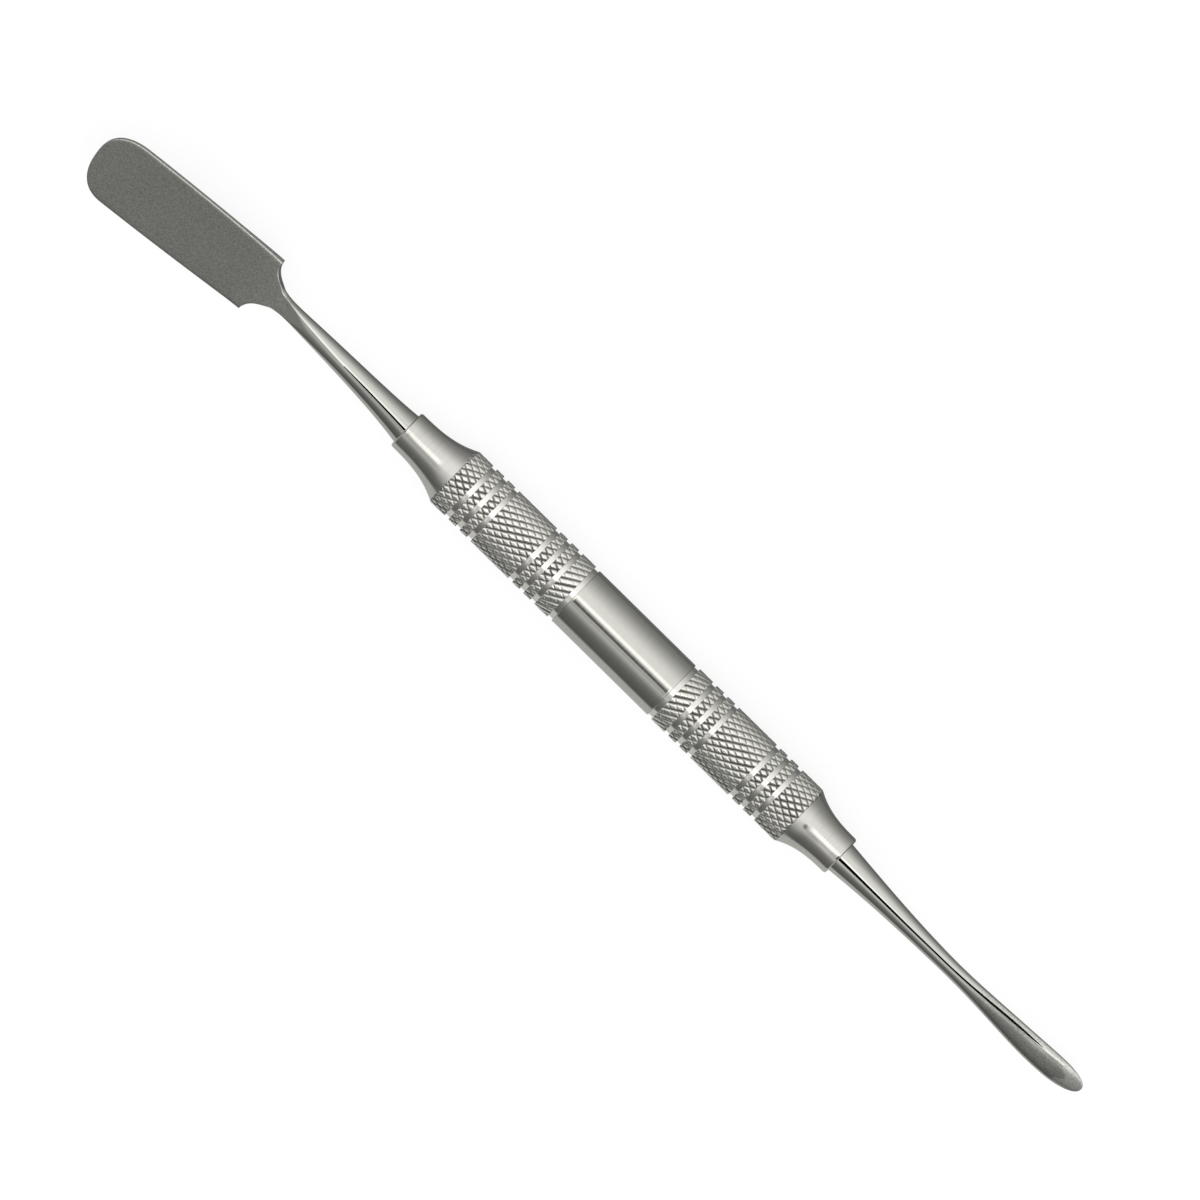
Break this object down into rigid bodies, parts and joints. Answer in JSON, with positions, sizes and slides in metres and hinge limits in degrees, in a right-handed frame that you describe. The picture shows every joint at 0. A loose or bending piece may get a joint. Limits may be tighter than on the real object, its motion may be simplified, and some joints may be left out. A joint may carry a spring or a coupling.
{
  "type": "double-ended periosteal elevator",
  "caption": "Slim steel hand instrument with a hollow knurled handle, a broad flat rounded spatula at one end and a narrow leaf-shaped elevator at the other.",
  "frame": {"origin": "centre of the handle, on its axis, midway between the two collar faces", "axes": "+X along the handle towards the spatula, +Z the side that the spatula bends towards, Y across it; the instrument is symmetric in Y but for a slight lean of the spatula's round end to -Y"},
  "size_m": [0.1849, 0.0108, 0.0119],
  "materials": {
    "spatula_steel": "satin forged stainless steel, fine lengthways grain, shank polished brighter than the blade's face",
    "knurled_steel": "turned and diamond-knurled stainless steel with smooth groove floors and a satin cone",
    "band_steel": "fine satin turned stainless steel",
    "elevator_steel": "polished stainless steel shank, satin ground leaf"
  },
  "bodies": {
    "root": {"spatula_tip": "spatula_steel", "spatula_grip": "knurled_steel", "centre_band": "band_steel", "elevator_grip": "knurled_steel", "elevator_tip": "elevator_steel"}
  },
  "joints": []
}
